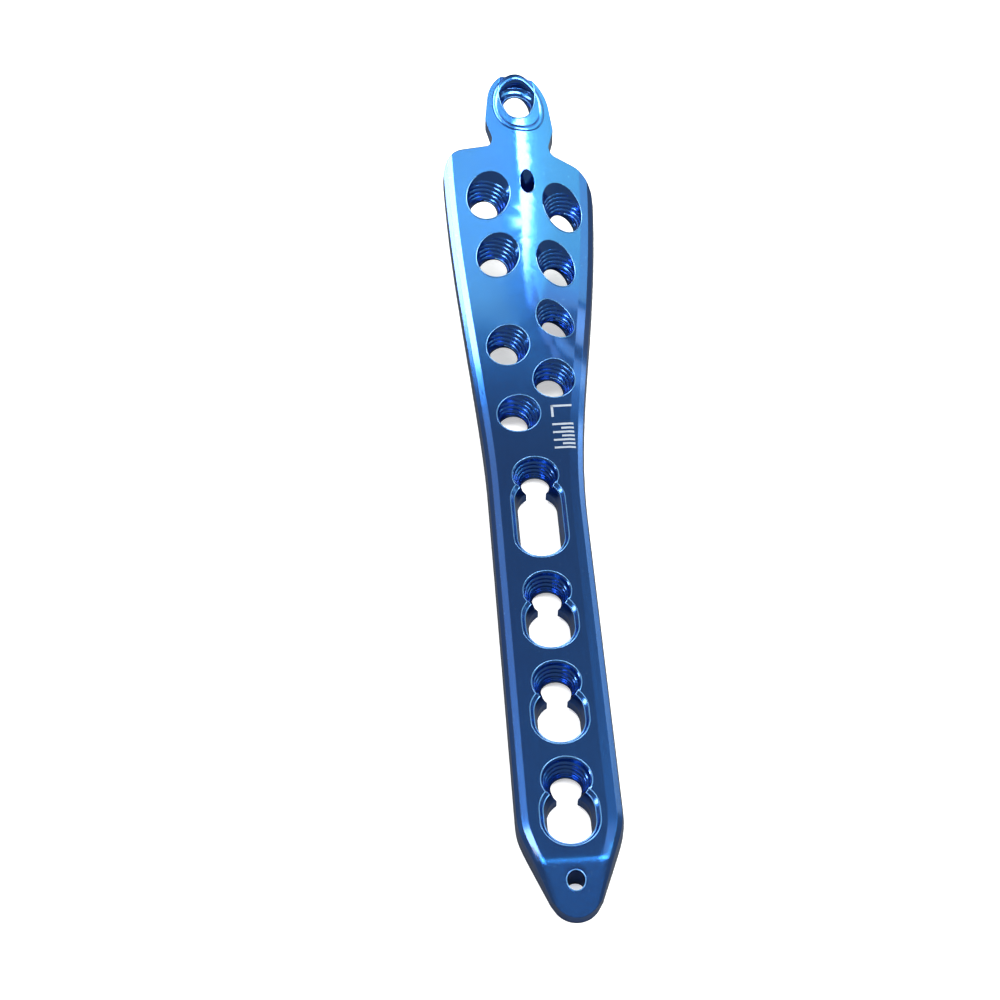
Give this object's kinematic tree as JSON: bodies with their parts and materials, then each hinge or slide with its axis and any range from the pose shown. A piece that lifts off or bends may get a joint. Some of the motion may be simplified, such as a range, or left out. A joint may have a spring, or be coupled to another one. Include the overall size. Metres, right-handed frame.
{
  "type": "bone plate",
  "caption": "Slim anatomical locking plate with a straight shaft of combination holes, a flared, bent and rolled head with angled screw holes, and a small end tab.",
  "frame": {"origin": "middle of the bounding box in X and Y, at the lowest point of the bone side", "axes": "+Y along the plate from the pointed tip to the head and its tab, +Z away from the bone, +X to the side to which the head rolls down"},
  "size_m": [0.0204, 0.1144, 0.022],
  "materials": {
    "bone_plate": "blue anodised titanium, satin to bright"
  },
  "bodies": {
    "root": {"bone_plate": "bone_plate"}
  },
  "joints": []
}
